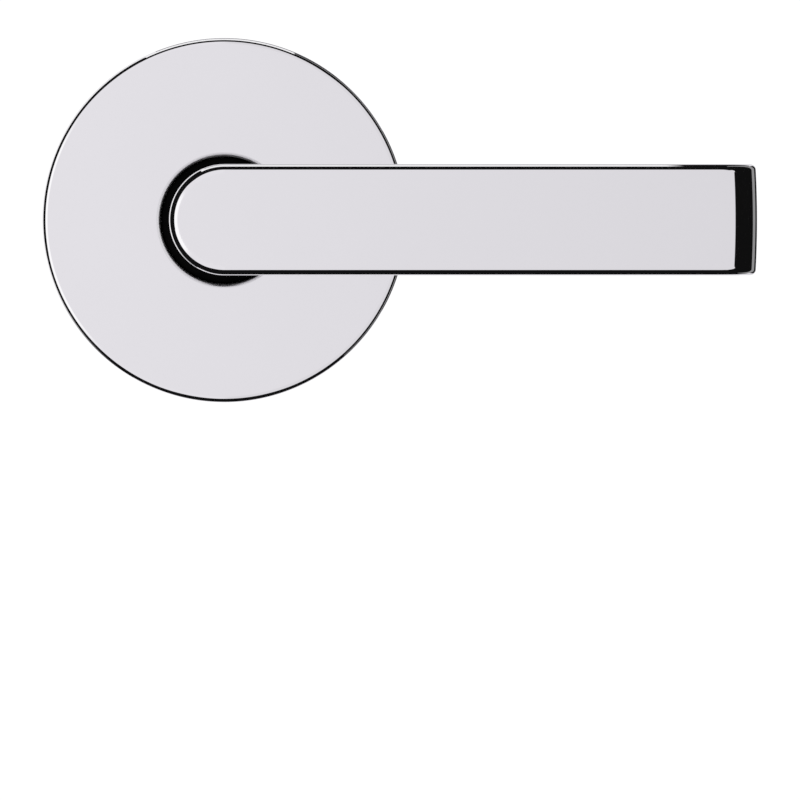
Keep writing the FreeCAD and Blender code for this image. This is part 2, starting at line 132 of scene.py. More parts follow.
def add_mesh(name, points, faces, normals, place):
    """A mesh object whose shading follows the given normals, with every face turned to agree with them."""
    p = place(np.asarray(points, float))
    n = place(np.asarray(points, float) + np.asarray(normals, float)) - p
    n /= np.linalg.norm(n, axis=1)[:, None]
    f = np.asarray(faces)
    across = np.cross(p[f[:, 2]] - p[f[:, 0]], p[f[:, 3]] - p[f[:, 1]])
    wrong = np.einsum("ij,ij->i", across, n[f].sum(axis=1)) < 0
    f = np.where(wrong[:, None], f[:, ::-1], f)
    mesh = bpy.data.meshes.new(name)
    mesh.from_pydata(p.tolist(), [], [list(dict.fromkeys(q)) for q in f.tolist()])
    mesh.validate()
    mesh.shade_smooth()
    if len(mesh.vertices) == len(n):
        mesh.normals_split_custom_set_from_vertices(n.tolist())
    obj = bpy.data.objects.new(name, mesh)
    bpy.context.scene.collection.objects.link(obj)
    return obj


def grid_faces(rows, columns, wrap):
    """Quads over a grid of points stored row by row. wrap joins the last column to the first."""
    r = np.arange(rows - 1)[:, None]
    c = np.arange(columns if wrap else columns - 1)[None, :]
    d = (c + 1) % columns
    this, following = r * columns, (r + 1) * columns
    return np.stack((this + c, this + d, following + d, following + c), axis=-1).reshape(-1, 4)


def gather(patches):
    """Joins (points, faces, normals) patches into one."""
    points, faces, normals, start = [], [], [], 0
    for p, f, n in patches:
        points.append(p)
        faces.append(f + start)
        normals.append(n)
        start += len(p)
    return np.concatenate(points), np.concatenate(faces), np.concatenate(normals)


def line(a, b, pieces=1):
    """A straight run of a lathe's profile, with the normal on its left hand: rows of r, z, nr, nz."""
    t = np.linspace(0, 1, pieces + 1)[:, None]
    d = np.array(b, float) - np.array(a, float)
    d /= np.hypot(*d)
    run = np.array(a, float) * (1 - t) + np.array(b, float) * t
    return np.column_stack((run, np.full(len(t), -d[1]), np.full(len(t), d[0])))


def arc(centre, radius, start, end, pieces=10, out=1):
    """A round run of a lathe's profile, between two angles in degrees. out is -1 for a hollow one."""
    a = np.radians(np.linspace(start, end, pieces + 1))
    c, s = np.cos(a), np.sin(a)
    return np.column_stack((centre[0] + radius * c, centre[1] + radius * s, out * c, out * s))


def softened(corners, radius):
    """Runs of a lathe's closed profile through the corners, anticlockwise, with each corner rounded."""
    runs = []
    count = len(corners)
    p = [np.array(c, float) for c in corners]
    ends = []
    for k in range(count):
        a, b, c = p[k - 1], p[k], p[(k + 1) % count]
        u, v = (a - b) / np.hypot(*(a - b)), (c - b) / np.hypot(*(c - b))
        half = math.acos(np.clip(u @ v, -1, 1)) / 2
        size = min(radius, 0.4 * min(np.hypot(*(a - b)), np.hypot(*(c - b))) * math.tan(half))
        back = size / math.tan(half)
        middle = b + (u + v) / np.hypot(*(u + v)) * size / math.sin(half)
        first, last = b + u * back, b + v * back
        a0 = math.degrees(math.atan2(*(first - middle)[::-1]))
        a1 = math.degrees(math.atan2(*(last - middle)[::-1]))
        turn = (a1 - a0 + 180) % 360 - 180
        ends.append((first, last, arc(middle, size, a0, a0 + turn, 4, 1 if turn > 0 else -1)))
    for k in range(count):
        nxt = ends[(k + 1) % count]
        runs.append(ends[k][2])
        start, end = ends[k][1], nxt[0]
        d = (end - start) / np.hypot(*(end - start))
        run = np.array([start, end])
        runs.append(np.column_stack((run, np.full(2, d[1]), np.full(2, -d[0]))))
    return runs


def lathe(runs, steps=128):
    """The surface that runs of a profile make round z. Runs share no points, so corners stay crisp."""
    a = np.linspace(0, 2 * math.pi, steps, endpoint=False)
    c, s = np.cos(a), np.sin(a)
    patches = []
    for run in runs:
        r, z, nr, nz = (column[:, None] for column in run.T)
        flat = np.ones_like(c)[None, :]
        points = np.stack((r * c, r * s, z * flat), axis=-1).reshape(-1, 3)
        normals = np.stack((nr * c, nr * s, nz * flat), axis=-1).reshape(-1, 3)
        patches.append((points, grid_faces(len(run), steps, True), normals))
    return gather(patches)


def tube(path, radius, sides=20):
    """A round wire along a path, with flat ends."""
    path = np.asarray(path, float)
    along = np.gradient(path, axis=0)
    along /= np.linalg.norm(along, axis=1)[:, None]
    across = np.cross(along[0], (0.3, 0.5, 0.8))
    rings, normals = [], []
    a = np.linspace(0, 2 * math.pi, sides, endpoint=False)[:, None]
    for centre, t in zip(path, along):
        across = across - t * (across @ t)
        across /= np.linalg.norm(across)
        around = np.cos(a) * across + np.sin(a) * np.cross(t, across)
        rings.append(centre + around * radius)
        normals.append(around)
    patches = [(np.concatenate(rings), grid_faces(len(path), sides, True), np.concatenate(normals))]
    for end, sign in ((0, -1), (-1, 1)):
        cap = np.concatenate((rings[end], (rings[end] - path[end]) * 0.02 + path[end]))
        patches.append((cap, grid_faces(2, sides, True), np.tile(along[end] * sign, (len(cap), 1))))
    return gather(patches)


def smoothstep(t):
    t = np.clip(t, 0, 1)
    return t * t * (3 - 2 * t)


def meet(a, b, r):
    """The inside of both fields, with an edge of radius r."""
    return np.minimum(np.maximum(a, b), -r) + np.hypot(np.maximum(a + r, 0), np.maximum(b + r, 0))


def join(a, b, r):
    """The inside of either field, with a hollow fillet of radius r."""
    return np.maximum(np.minimum(a, b), r) - np.hypot(np.maximum(r - a, 0), np.maximum(r - b, 0))


def lever_field(p):
    """Signed distance, roughly, from the surface of the lever's neck, flare, bar and return."""
    x, y, z = p[:, 0], p[:, 1], p[:, 2]
    r = np.hypot(x, y)
    far = REACH - CROWN
    bowed = np.where(x > TIP_HALF, np.hypot(x - far, y) + far, x)
    shell = np.maximum(
        meet(bowed - REACH, z - FRONT, BEND),
        join(BACK - z, REACH - RETURN_THICK - bowed, INNER_CORNER),
    )
    bar = meet(shell, FRONT - RETURN_DEPTH - z, RETURN_CORNER)
    neck = np.maximum(join(r - NECK, BACK - z, FLARE), np.maximum(z - FRONT, x - FLARE_REACH))
    body = np.maximum(np.minimum(bar, neck), SHOULDER - z)
    side = np.where(x > 0, np.abs(y), r) - HALF
    # the edge is sharper on the return, and goes away down the neck
    turn = np.degrees(np.arctan2(z - BACK + INNER_CORNER, bowed - REACH + RETURN_THICK + INNER_CORNER))
    edge = RETURN_EDGE + (EDGE - RETURN_EDGE) * np.where(x > TIP_HALF, smoothstep((turn - 20) / 50), 1)
    fading = NECK_EDGE + (edge - NECK_EDGE) * smoothstep((z - NECK_END) / 5)
    grip = meet(body, side, np.where(x < TIP_HALF / 2, fading, edge))
    hole = np.maximum(np.hypot(x, z - SCREW_HEIGHT) - SCREW_HOLE, y)
    bore = np.maximum(np.maximum(np.abs(x), np.abs(y)) - BORE_ROOM, z - BORE_DEPTH)
    return np.maximum(meet(grip, -hole, HOLE_EDGE), -bore)


def slope(field, p, step=0.004):
    """The field's gradient."""
    columns = []
    for k in range(3):
        d = np.zeros(3)
        d[k] = step
        columns.append((field(p + d) - field(p - d)) / (2 * step))
    return np.column_stack(columns)


def net(field, xs, ys, zs):
    """A quad mesh of the field's surface: one point in each cell it crosses, moved exactly onto it."""
    shape = (len(xs), len(ys), len(zs))
    corners = np.stack(np.meshgrid(xs, ys, zs, indexing="ij"), axis=-1)
    d = field(corners.reshape(-1, 3)).reshape(shape)
    cells = tuple(n - 1 for n in shape)
    total, count = np.zeros(cells + (3,)), np.zeros(cells)
    quads = []
    index = np.arange(np.prod(cells)).reshape(cells)
    for axis in range(3):
        low = [slice(None)] * 3
        high = [slice(None)] * 3
        low[axis], high[axis] = slice(0, -1), slice(1, None)
        a, b = d[tuple(low)], d[tuple(high)]
        cross = (a < 0) != (b < 0)
        t = np.where(cross, a / np.where(cross, a - b, 1), 0)[..., None]
        at = corners[tuple(low)] * (1 - t) + corners[tuple(high)] * t
        u, v = [k for k in range(3) if k != axis]
        for i in (0, 1):
            for j in (0, 1):
                pick = [slice(None)] * 3
                pick[u] = slice(i, i + cells[u])
                pick[v] = slice(j, j + cells[v])
                c = cross[tuple(pick)]
                total += np.where(c[..., None], at[tuple(pick)], 0)
                count += c
        within = [slice(None)] * 3
        within[u], within[v] = slice(1, -1), slice(1, -1)
        cell = np.argwhere(cross[tuple(within)])
        du, dv = np.zeros(3, int), np.zeros(3, int)
        du[u], dv[v] = 1, 1
        around = (cell, cell + du, cell + du + dv, cell + dv)
        quads.append(np.column_stack([index[tuple(c.T)] for c in around]))
    quads = np.concatenate(quads)
    used = np.flatnonzero(count.ravel())
    number = np.full(count.size, -1)
    number[used] = np.arange(len(used))
    p = total.reshape(-1, 3)[used] / count.ravel()[used][:, None]
    for _ in range(5):
        g = slope(field, p)
        p = p - (field(p) / np.maximum((g * g).sum(axis=1), 0.05))[:, None] * g
    normals = slope(field, p)
    normals /= np.linalg.norm(normals, axis=1)[:, None]
    return p, number[quads], normals


def spaced(*runs):
    """Grid lines from (start, end, cells) runs."""
    return np.unique(np.concatenate([np.linspace(a, b, n + 1) for a, b, n in runs]).round(6))


# ---------------------------------------------------------------- materials


class Maker:
    """A material's nodes, with short calls to add and join them."""

    def __init__(self, name, colour, metallic, roughness):
        self.material = bpy.data.materials.new(name)
        self.material.use_nodes = True
        self.nodes = self.material.node_tree.nodes
        self.links = self.material.node_tree.links
        self.surface = self.nodes["Principled BSDF"]
        self.set("Base Color", (*colour, 1))
        self.set("Metallic", metallic)
        self.set("Roughness", roughness)
        self.place = self.nodes.new("ShaderNodeTexCoord").outputs["Object"]

    def set(self, socket, value):
        self.surface.inputs[socket].default_value = value

    def noise(self, scale, detail=3, stretch=(1, 1, 1)):
        """A noise of so many waves a metre, stretched along the axes."""
        mapping = self.nodes.new("ShaderNodeMapping")
        mapping.inputs["Scale"].default_value = stretch
        self.links.new(self.place, mapping.inputs["Vector"])
        node = self.nodes.new("ShaderNodeTexNoise")
        node.inputs["Scale"].default_value = scale
        node.inputs["Detail"].default_value = detail
        self.links.new(mapping.outputs["Vector"], node.inputs["Vector"])
        return node.outputs["Fac"]

    def mapped(self, value, low, high, start=0.3, end=0.7):
        node = self.nodes.new("ShaderNodeMapRange")
        node.inputs["From Min"].default_value = start
        node.inputs["From Max"].default_value = end
        node.inputs["To Min"].default_value = low
        node.inputs["To Max"].default_value = high
        self.links.new(value, node.inputs["Value"])
        return node.outputs["Result"]

    def colours(self, value, first, second):
        """Sets the base colour to run from one colour to another with a value."""
        node = self.nodes.new("ShaderNodeMix")
        node.data_type = "RGBA"
        node.inputs["A"].default_value = (*first, 1)
        node.inputs["B"].default_value = (*second, 1)
        self.links.new(self.mapped(value, 0, 1), node.inputs["Factor"])
        self.links.new(node.outputs["Result"], self.surface.inputs["Base Color"])

    def rough(self, value, low, high):
        self.links.new(self.mapped(value, low, high), self.surface.inputs["Roughness"])

    def bump(self, *layers):
        """Bumps from (value, height in metres) layers."""
        last = None
        for value, height in layers:
            node = self.nodes.new("ShaderNodeBump")
            node.inputs["Strength"].default_value = 1
            node.inputs["Distance"].default_value = height
            self.links.new(value, node.inputs["Height"])
            if last is not None:
                self.links.new(last, node.inputs["Normal"])
            last = node.outputs["Normal"]
        self.links.new(last, self.surface.inputs["Normal"])


def chrome(name, tone):
    """Mirror chrome: clear, with the faint haze and drift of hand polishing."""
    m = Maker(name, tone, 1, 0.03)
    m.colours(m.noise(60, 4), [c * 0.992 for c in tone], tone)
    m.rough(m.noise(900, 5), 0.012, 0.035)
    m.bump((m.noise(140, 2), 1.2e-7))
    return m


def chrome_with_painted_hole_shade(name, tone):
    """Chrome that dulls on the rolled edge of the hole, with painted shade in its colour: nearly black at the
    hole's edge, and a little darker where the lip meets the flat face.
    """
    m = chrome(name, tone)
    flat = m.nodes.new("ShaderNodeVectorMath")
    flat.operation = "MULTIPLY"
    flat.inputs[1].default_value = (1, 0, 1)
    m.links.new(m.place, flat.inputs[0])
    length = m.nodes.new("ShaderNodeVectorMath")
    length.operation = "LENGTH"
    m.links.new(flat.outputs[0], length.inputs[0])
    radius = length.outputs["Value"]
    rough = m.nodes.new("ShaderNodeMath")
    rough.operation = "MAXIMUM"
    m.links.new(m.surface.inputs["Roughness"].links[0].from_socket, rough.inputs[0])
    m.links.new(m.mapped(radius, 0.32, 0, (HOLE + 0.6) * MM, (HOLE + 0.85) * MM), rough.inputs[1])
    m.links.new(rough.outputs[0], m.surface.inputs["Roughness"])
    # painted shade: the colour is darkened by radius, to 3% of itself within 0.1 mm of the hole's edge and
    # back to full 0.5 mm out, and to 84% where the lip meets the flat face
    for low, start, end in ((0.03, HOLE + 0.1, HOLE + 0.5), (0.84, HOLE + LIP, HOLE + LIP + 0.2)):
        painted_shade = m.nodes.new("ShaderNodeMix")
        painted_shade.data_type = "RGBA"
        painted_shade.inputs["A"].default_value = (0, 0, 0, 1)
        m.links.new(m.surface.inputs["Base Color"].links[0].from_socket, painted_shade.inputs["B"])
        m.links.new(m.mapped(radius, low, 1, start * MM, end * MM), painted_shade.inputs["Factor"])
        m.links.new(painted_shade.outputs["Result"], m.surface.inputs["Base Color"])
    return m


def casting(name):
    """Bare zinc straight from the die: matt, mottled by the flow of the metal."""
    m = Maker(name, (0.42, 0.43, 0.44), 0.85, 0.5)
    flow = m.noise(120, 6)
    m.colours(flow, (0.33, 0.34, 0.355), (0.52, 0.53, 0.54))
    m.rough(m.noise(700, 4), 0.38, 0.6)
    m.bump((m.noise(2600, 5), 1.8e-5), (m.noise(300, 3), 2.5e-5))
    return m.material


def plated_steel(name, tone, roughness, stretch):
    """Zinc-plated steel, with drawing lines along one axis and the plate's faint blue and straw drift."""
    m = Maker(name, tone, 1, roughness)
    cloud = m.noise(90, 3)
    m.colours(cloud, [tone[0] * 0.9, tone[1] * 0.93, tone[2]], [tone[0], tone[1] * 0.98, tone[2] * 0.92])
    lines = m.noise(2200, 4, stretch)
    m.rough(lines, roughness * 0.92, roughness * 1.12)
    m.bump((lines, 8e-7))
    return m.material


def dark_steel(name, dark, light, roughness):
    """Oiled or blackened steel, with a fine tooth and worn lighter patches."""
    m = Maker(name, dark, 1, roughness)
    m.colours(m.noise(250, 6), dark, light)
    m.rough(m.noise(1200, 4), roughness * 0.8, roughness * 1.3)
    m.bump((m.noise(5000, 3), 4e-6))
    return m.material


def acetal(name):
    """Dull black moulded acetal."""
    m = Maker(name, (0.003, 0.003, 0.0032), 0, 0.6)
    m.set("Specular IOR Level", 0.02)
    m.colours(m.noise(400, 4), (0.0022, 0.0022, 0.0024), (0.004, 0.004, 0.0042))
    m.rough(m.noise(1500, 3), 0.55, 0.72)
    m.bump((m.noise(3500, 3), 5e-6))
    return m.material


CHROME = (0.93, 0.92, 0.94)
LEVER_CHROME = chrome("lever_chrome", CHROME).material
ROSE_CHROME = chrome_with_painted_hole_shade("rose_chrome", CHROME).material
ACETAL = acetal("black_acetal")
CASTING = casting("die_cast_zinc")
PLATED = plated_steel("zinc_plated_steel", (0.66, 0.67, 0.70), 0.28, (1, 0.05, 1))
DRAWN = plated_steel("drawn_spindle_steel", (0.60, 0.61, 0.64), 0.3, (1, 0.03, 1))
STAMPED = plated_steel("stamped_steel", (0.55, 0.56, 0.58), 0.36, (1, 1, 0.1))
SPRING = dark_steel("spring_steel", (0.17, 0.175, 0.19), (0.30, 0.305, 0.32), 0.32)
OXIDE = dark_steel("black_oxide_steel", (0.022, 0.022, 0.026), (0.07, 0.068, 0.07), 0.38)


def dress(obj, material):
    """Gives an object one material."""
    obj.data.materials.clear()
    obj.data.materials.append(material)


# ---------------------------------------------------------------- pieces

# side of the door: (body that its turning parts ride on, placing of unhanded parts, placing of handed ones)
SIDES = {
    "outside": ("outside_handle", outside, outside),
    "inside": ("inside_handle", inside, inside_mirrored),
}


def put(name, patch, place, body, material, slot, *nodes):
    """Adds a piece that rides on a body and stands for CAD nodes."""
    obj = add_mesh(name, *patch, place)
    dress(obj, material)
    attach(obj, body)
    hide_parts(*nodes)
    return obj


def rose_cover():
    """The drawn cup: flat face, crisp rim, and the hole's edge rolled in."""
    outer, wall, height, rim, lip_end = 33.35, 1.2, ROSE_HEIGHT, 1.1, 7.0
    inner, ceiling = outer - wall, height - wall
    return lathe(
        [
            line((outer, height - rim), (outer, 0)),
            arc((outer - rim, height - rim), rim, 0, 90),
            line((HOLE + LIP, height), (outer - rim, height)),
            arc((HOLE + LIP, height - LIP), LIP, 90, 180),
            line((HOLE, lip_end), (HOLE, height - LIP)),
            line((HOLE + wall, lip_end), (HOLE, lip_end)),
            line((HOLE + wall, ceiling), (HOLE + wall, lip_end)),
            line((inner, ceiling), (HOLE + wall, ceiling)),
            line((inner, 0), (inner, ceiling)),
            line((outer, 0), (inner, 0)),
        ],
        256,
    )


def neck_bush():
    """The moulded bearing, with softened edges. Its collar closes the hole in the rose."""
    bore, barrel, collar, collar_bore = 8.66, 10.4, HOLE - 0.05, 9.95
    rear, collar_rear, ledge, front = -5.6, 3.8, 5.0, 6.9
    corners = [
        (bore, rear), (barrel, rear), (barrel, collar_rear), (collar, collar_rear),
        (collar, front), (collar_bore, front), (collar_bore, ledge), (bore, ledge),
    ]
    return lathe(softened(corners, 0.25), 160)


def grip():
    """The lever's neck, flare, bar and return, on a grid that is finest along the edges."""
    xs = spaced((-10.9, 18, 90), (18, 82, 32), (82, 98.5, 60))
    ys = spaced((-10.8, -8.4, 12), (-8.4, 8.4, 42), (8.4, 10.8, 12))
    zs = spaced((4.6, 10.8, 8), (10.8, 17.2, 26), (17.2, 39, 14), (39, 56.1, 72))
    return net(lever_field, xs, ys, zs)


def spigot():
    """The turned end of the lever: round, then two flats with the ring's groove, round a square bore."""
    steps = 180
    a = np.linspace(0, 2 * math.pi, steps, endpoint=False)
    c, s = np.cos(a), np.sin(a)
    flats = FLAT / np.maximum(np.abs(s), 1e-6)
    square = BORE / np.maximum(np.abs(c), np.abs(s))
    whole = np.full(steps, SPIGOT)
    keyed, groove = np.minimum(SPIGOT, flats), np.minimum(GROOVE, flats)
    rings = [
        (whole, SHOULDER), (whole, FLATS_START), (keyed, FLATS_START), (keyed, GROOVE_FRONT),
        (groove, GROOVE_FRONT), (groove, GROOVE_REAR), (keyed, GROOVE_REAR), (keyed, SPIGOT_END + 0.35),
        (keyed - 0.35, SPIGOT_END), (square + 0.1, SPIGOT_END), (square, SPIGOT_END + 0.1), (square, 4.0),
    ]
    patches = []
    for (r0, z0), (r1, z1) in zip(rings, rings[1:]):
        ends = [np.column_stack((r * c, r * s, np.full(steps, z))) for r, z in ((r0, z0), (r1, z1))]
        rim = ends[0] if abs(z1 - z0) > 1e-6 else ends[np.argmax([r0.sum(), r1.sum()])]
        tangent = np.roll(rim, -1, axis=0) - np.roll(rim, 1, axis=0)
        rise = ends[1] - ends[0]
        still = np.linalg.norm(rise, axis=1) < 1e-9
        rise[still] = (0, 0, -1)
        n = np.cross(rise, tangent)
        n /= np.maximum(np.linalg.norm(n, axis=1), 1e-9)[:, None]
        patches.append((np.concatenate(ends), grid_faces(2, steps, True), np.concatenate((n, n))))
    return gather(patches)


def curve_to(start, along, toward, radius, pieces=8):
    """Points of an arc that leaves start in one direction and ends in another."""
    along, toward = (np.array(v, float) / np.linalg.norm(v) for v in (along, toward))
    inward = toward - along * (along @ toward)
    inward /= np.linalg.norm(inward)
    a = np.linspace(0, math.acos(np.clip(along @ toward, -1, 1)), pieces + 1)[1:, None]
    return start + inward * radius * (1 - np.cos(a)) + along * radius * np.sin(a)


def return_spring():
    """The torsion spring's wire: rear leg, coil and front leg."""
    rise = PITCH * TURNS
    t = np.linspace(0, 1, 241)
    a = FRONT_ANGLE + 2 * math.pi * TURNS * (t - 1)
    coil = np.column_stack((COIL * np.cos(a), COIL * np.sin(a), COIL_FRONT + rise * (t - 1)))
    climb = PITCH / (2 * math.pi * COIL)
    ends = [np.array((-math.sin(b), math.cos(b), climb)) for b in (a[0], a[-1])]
    front = curve_to(coil[-1], ends[1], (0, 0, 1), LEG_BEND)
    rear = curve_to(coil[0], -ends[0], (0, 0, -1), LEG_BEND)[::-1]
    rear_tip = np.array([(rear[0][0], rear[0][1], REAR_LEG_END)])
    front_tip = np.array([(front[-1][0], front[-1][1], FRONT_LEG_END)])
    return tube(np.concatenate((rear_tip, rear, coil, front, front_tip)), WIRE)


def thread(radius, depth, pitch, start, end, steps=40):
    """A threaded shank along z, from start down to end, with a run-out and a pointed tip."""
    z = np.arange(start, end, -pitch / 10)
    a = np.linspace(0, 2 * math.pi, steps, endpoint=False)
    wave = (z[:, None] / pitch - a[None, :] / (2 * math.pi)) % 1
    cut = smoothstep((1 - np.abs(wave * 2 - 1)) * 1.3) * depth
    cut *= smoothstep((start - z) / (2 * pitch))[:, None]
    r = np.minimum(radius - cut, radius - 0.9 + (z - end)[:, None])
    p = np.stack((r * np.cos(a), r * np.sin(a), np.broadcast_to(z[:, None], r.shape)), axis=-1)
    du = np.roll(p, -1, axis=1) - np.roll(p, 1, axis=1)
    dv = np.gradient(p, axis=0)
    n = np.cross(dv, du).reshape(-1, 3)
    n /= np.linalg.norm(n, axis=1)[:, None]
    faces = grid_faces(len(z), steps, True)
    tip = np.concatenate((p[-1], p[-1] * (0.02, 0.02, 1)))
    cap = (tip, grid_faces(2, steps, True), np.tile((0.0, 0.0, -1.0), (len(tip), 1)))
    return gather([(p.reshape(-1, 3), faces, n), cap])


def screw():
    """A pan-head screw with a cross recess, along z, its head's seat at the plate's front."""
    seat, head, height, shank, length = 2.6, 3.9, 2.3, 2.0, 23.0
    slot, slot_half, slot_depth, edge = 2.0, 0.45, 1.4, 0.5
    steps, rows = 96, 28
    a = np.linspace(0, 2 * math.pi, steps, endpoint=False)
    t = np.linspace(0, 1, rows)[:, None]
    # the first four fifths of t run outwards over the head, the rest down its side
    out = np.minimum(1, 1.25 * t)
    r = np.maximum(head * out, 0.02)
    x, y = r * np.cos(a), r * np.sin(a)
    down = smoothstep((t - 0.8) / 0.2) * (height - edge) + edge * out**3
    across = np.maximum(np.abs(x) - slot, np.abs(y) - slot_half)
    along = np.maximum(np.abs(y) - slot, np.abs(x) - slot_half)
    recess = slot_depth * smoothstep(0.5 - np.minimum(across, along) / 0.3)
    z = seat + height - down - np.where(t > 0.8, 0, recess)
    p = np.stack((x, y, z), axis=-1)
    du = np.roll(p, -1, axis=1) - np.roll(p, 1, axis=1)
    n = np.cross(np.gradient(p, axis=0), du).reshape(-1, 3)
    n /= np.maximum(np.linalg.norm(n, axis=1), 1e-9)[:, None]
    top = (p.reshape(-1, 3), grid_faces(rows, steps, True), n)
    under = lathe([line((shank, seat), (head, seat))], steps)
    return gather([top, under, thread(shank, 0.32, 0.7, seat, seat - length)])


for side, (body, place, handed) in SIDES.items():
    cover = f"{side}_rose_cover"
    put(f"{side}_rose", rose_cover(), place, "door_trim", ROSE_CHROME, "polished_chrome", cover)
    put(f"{side}_bush", neck_bush(), place, "door_trim", ACETAL, "black_acetal", f"{side}_neck_bush")
    put(f"{side}_grip", grip(), handed, body, LEVER_CHROME, "polished_chrome", f"{side}_lever")
    put(f"{side}_spigot", spigot(), handed, body, CASTING, "polished_chrome", f"{side}_lever")
    spring = add_mesh(f"{side}_spring", *return_spring(), place)
    dress(spring, SPRING)
    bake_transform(spring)
    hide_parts(f"{side}_return_spring")

for number, x in enumerate((-BOLT_OFFSET, BOLT_OFFSET)):
    points, faces, normals = screw()
    put(
        f"mounting_screw_{number + 1}",
        (points + (x, 0, 0), faces, normals),
        inside,
        "door_trim",
        PLATED,
        "zinc_plated_steel",
        "mounting_screws",
    )

for name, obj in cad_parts.items():
    for ending, material in {
        "rose_cover": ROSE_CHROME,
        "lever": LEVER_CHROME,
        "neck_bush": ACETAL,
        "mounting_plate": CASTING,
        "rose_clips": SPRING,
        "return_spring": SPRING,
        "wave_washer": SPRING,
        "driver_plate": STAMPED,
        "retaining_ring": OXIDE,
        "set_screw": OXIDE,
        "mounting_posts": PLATED,
        "mounting_screws": PLATED,
        "spindle": DRAWN,
    }.items():
        if name.endswith(ending):
            dress(obj, material)


# ---------------------------------------------------------------- studio

FLOOR_HEIGHT = -0.13
FLOOR_HALF = 12.0
CARD = (0.792, 0.783, 0.807)
GLOW = (1.05, 1.05, 1.05)
DARK = (0.0058, 0.0058, 0.0062)
SEEN_WHITE = (1.06, 1.06, 1.06)
CARD_EDGE = 43.5
CARD_FURTHER = 7.5
GLOW_TILT = 0.09
RIGHT_CARD = 0.178
RIGHT_CARD_HALF = 0.025
LEFT_SCREEN = 0.085
LENS = 1700.0
SENSOR = 36.0
PICTURE_WIDTH = 0.14635
PICTURE_CENTRE = (0.03216, -0.03291)
STAND = (-0.013, -0.012)


class Sums:
    """Short calls for a shader tree's arithmetic."""

    def __init__(self, tree):
        self.nodes, self.links = tree.nodes, tree.links

    def feed(self, sockets, values):
        for socket, value in zip(sockets, values):
            if isinstance(value, bpy.types.NodeSocket):
                self.links.new(value, socket)
            else:
                socket.default_value = (*value, 1) if isinstance(value, tuple) else value

    def sum(self, kind, *values):
        node = self.nodes.new("ShaderNodeMath")
        node.operation = kind
        self.feed(node.inputs, values)
        return node.outputs[0]

    def ramp(self, value, start, end, low=0.0, high=1.0, soft=True):
        node = self.nodes.new("ShaderNodeMapRange")
        node.interpolation_type = "SMOOTHSTEP" if soft else "LINEAR"
        names = ("Value", "From Min", "From Max", "To Min", "To Max")
        self.feed([node.inputs[n] for n in names], (value, start, end, low, high))
        return node.outputs["Result"]

    def mix(self, factor, first, second):
        node = self.nodes.new("ShaderNodeMix")
        node.data_type = "RGBA"
        self.feed((node.inputs["Factor"], node.inputs["A"], node.inputs["B"]), (factor, first, second))
        return node.outputs["Result"]


def studio_world():
    """White to the eye and for soft light. In reflections: a pale card before each face of the door."""
    world = bpy.data.worlds.new("studio")
    bpy.context.scene.world = world
    world.use_nodes = True
    world.node_tree.nodes.clear()
    t = Sums(world.node_tree)
    split = t.nodes.new("ShaderNodeSeparateXYZ")
    t.links.new(t.nodes.new("ShaderNodeTexCoord").outputs["Generated"], split.inputs[0])
    x, y, z = split.outputs
    # degrees away from the line through both faces, and the way round it
    away = t.sum("MULTIPLY", t.sum("ARCCOSINE", t.sum("ABSOLUTE", y)), math.degrees(1))
    squares = t.sum("ADD", t.sum("MULTIPLY", x, x), t.sum("MULTIPLY", z, z))
    lateral = t.sum("MAXIMUM", t.sum("SQRT", squares), 1e-4)
    right = t.sum("DIVIDE", x, lateral)
    up = t.sum("DIVIDE", z, lateral)
    # the card reaches further to the left, downwards and towards its upper right corner
    corner = t.sum("MULTIPLY", t.ramp(up, 0.2, 0.3), t.ramp(up, 0.82, 0.72))
    corner = t.sum("MULTIPLY", corner, t.ramp(right, 0.0, 0.1))
    below = t.sum("SUBTRACT", t.ramp(up, -0.12, -0.22), t.ramp(up, -0.92, -0.98, 0.0, 0.5))
    further = t.sum("MAXIMUM", t.sum("ADD", below, corner), t.ramp(right, -0.6, -0.8, 0.0, 0.6))
    edge = t.sum("ADD", CARD_EDGE, t.sum("MULTIPLY", further, CARD_FURTHER))
    on_card = t.ramp(t.sum("SUBTRACT", away, edge), 1.0, -1.0)
    # a brighter screen at the left, a little below the middle
    level = t.sum("MULTIPLY", right, -math.cos(GLOW_TILT))
    left = t.sum("ADD", level, t.sum("MULTIPLY", up, -math.sin(GLOW_TILT)))
    glow = t.sum("MULTIPLY", t.ramp(left, 0.72, 0.90), t.ramp(away, 3.0, 14.0))
    # the card grows slightly darker along the lever
    shade = t.ramp(x, -0.003, 0.0152, 1.044, 0.943, False)
    scaled = t.nodes.new("ShaderNodeVectorMath")
    scaled.operation = "SCALE"
    scaled.inputs[0].default_value = CARD
    t.links.new(shade, scaled.inputs["Scale"])
    card = t.mix(glow, scaled.outputs[0], GLOW)
    colour = t.mix(on_card, DARK, card)
    seen = t.nodes.new("ShaderNodeLightPath").outputs["Is Glossy Ray"]
    background = t.nodes.new("ShaderNodeBackground")
    t.links.new(t.mix(seen, SEEN_WHITE, colour), background.inputs["Color"])
    output = t.nodes.new("ShaderNodeOutputWorld")
    t.links.new(background.outputs[0], output.inputs["Surface"])


def reflector(name, points, faces, glows):
    """A sheet that only polished surfaces see, with the glow of each of its points."""
    mesh = bpy.data.meshes.new(name)
    mesh.from_pydata(points, [], faces)
    mesh.attributes.new("glow", "FLOAT", "POINT").data.foreach_set("value", glows)
    obj = bpy.data.objects.new(name, mesh)
    bpy.context.scene.collection.objects.link(obj)
    material = bpy.data.materials.new(name)
    material.use_nodes = True
    nodes = material.node_tree.nodes
    nodes.clear()
    glow = nodes.new("ShaderNodeAttribute")
    glow.attribute_name = "glow"
    light = nodes.new("ShaderNodeEmission")
    output = nodes.new("ShaderNodeOutputMaterial")
    material.node_tree.links.new(glow.outputs["Fac"], light.inputs["Strength"])
    material.node_tree.links.new(light.outputs[0], output.inputs["Surface"])
    dress(obj, material)
    obj.visible_camera = False
    obj.visible_diffuse = False
    obj.visible_shadow = False
    obj.visible_transmission = False


